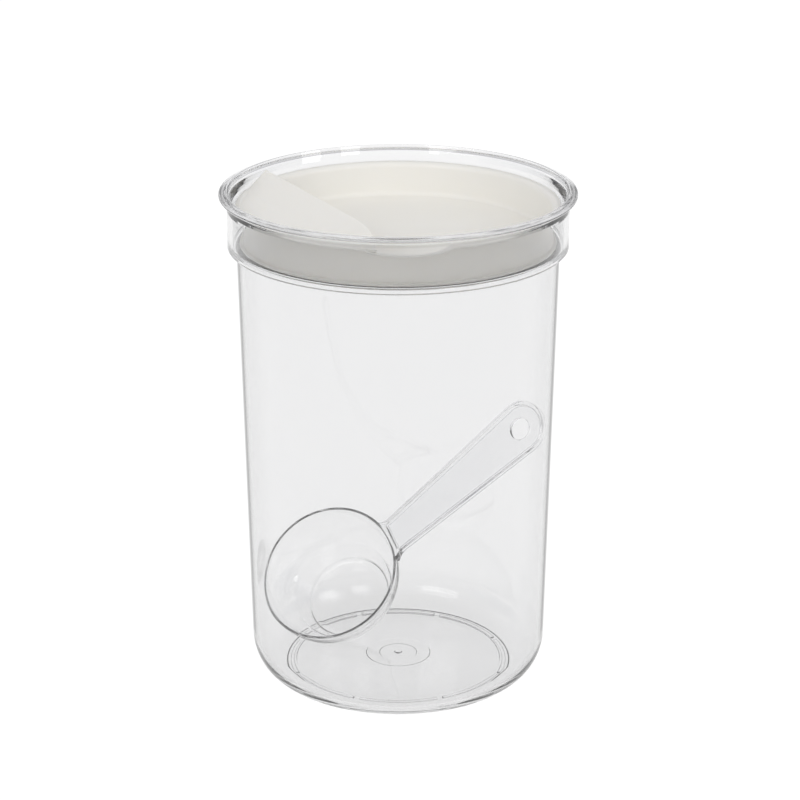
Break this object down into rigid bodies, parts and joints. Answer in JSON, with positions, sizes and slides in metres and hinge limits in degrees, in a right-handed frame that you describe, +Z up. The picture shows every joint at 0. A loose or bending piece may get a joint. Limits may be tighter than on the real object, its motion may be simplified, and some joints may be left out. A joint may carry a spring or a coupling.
{
  "type": "dry goods canister",
  "caption": "Clear round storage canister with a stepped collar, a white push-in lid with a raised finger grip over its recess, and a clear measuring scoop lying inside.",
  "frame": {"origin": "middle of the foot, on the surface that the canister stands on", "axes": "+Z up along the jar's axis to the lip; the pictured front faces -Y and +X is to its right"},
  "size_m": [0.14, 0.14, 0.2035],
  "materials": {
    "clear_plastic": "clear, polished",
    "white_plastic": "satin",
    "scoop_plastic": "clear, slightly hazy"
  },
  "bodies": {
    "root": {"jar": "clear_plastic", "lid": "white_plastic", "scoop": "scoop_plastic"}
  },
  "joints": []
}
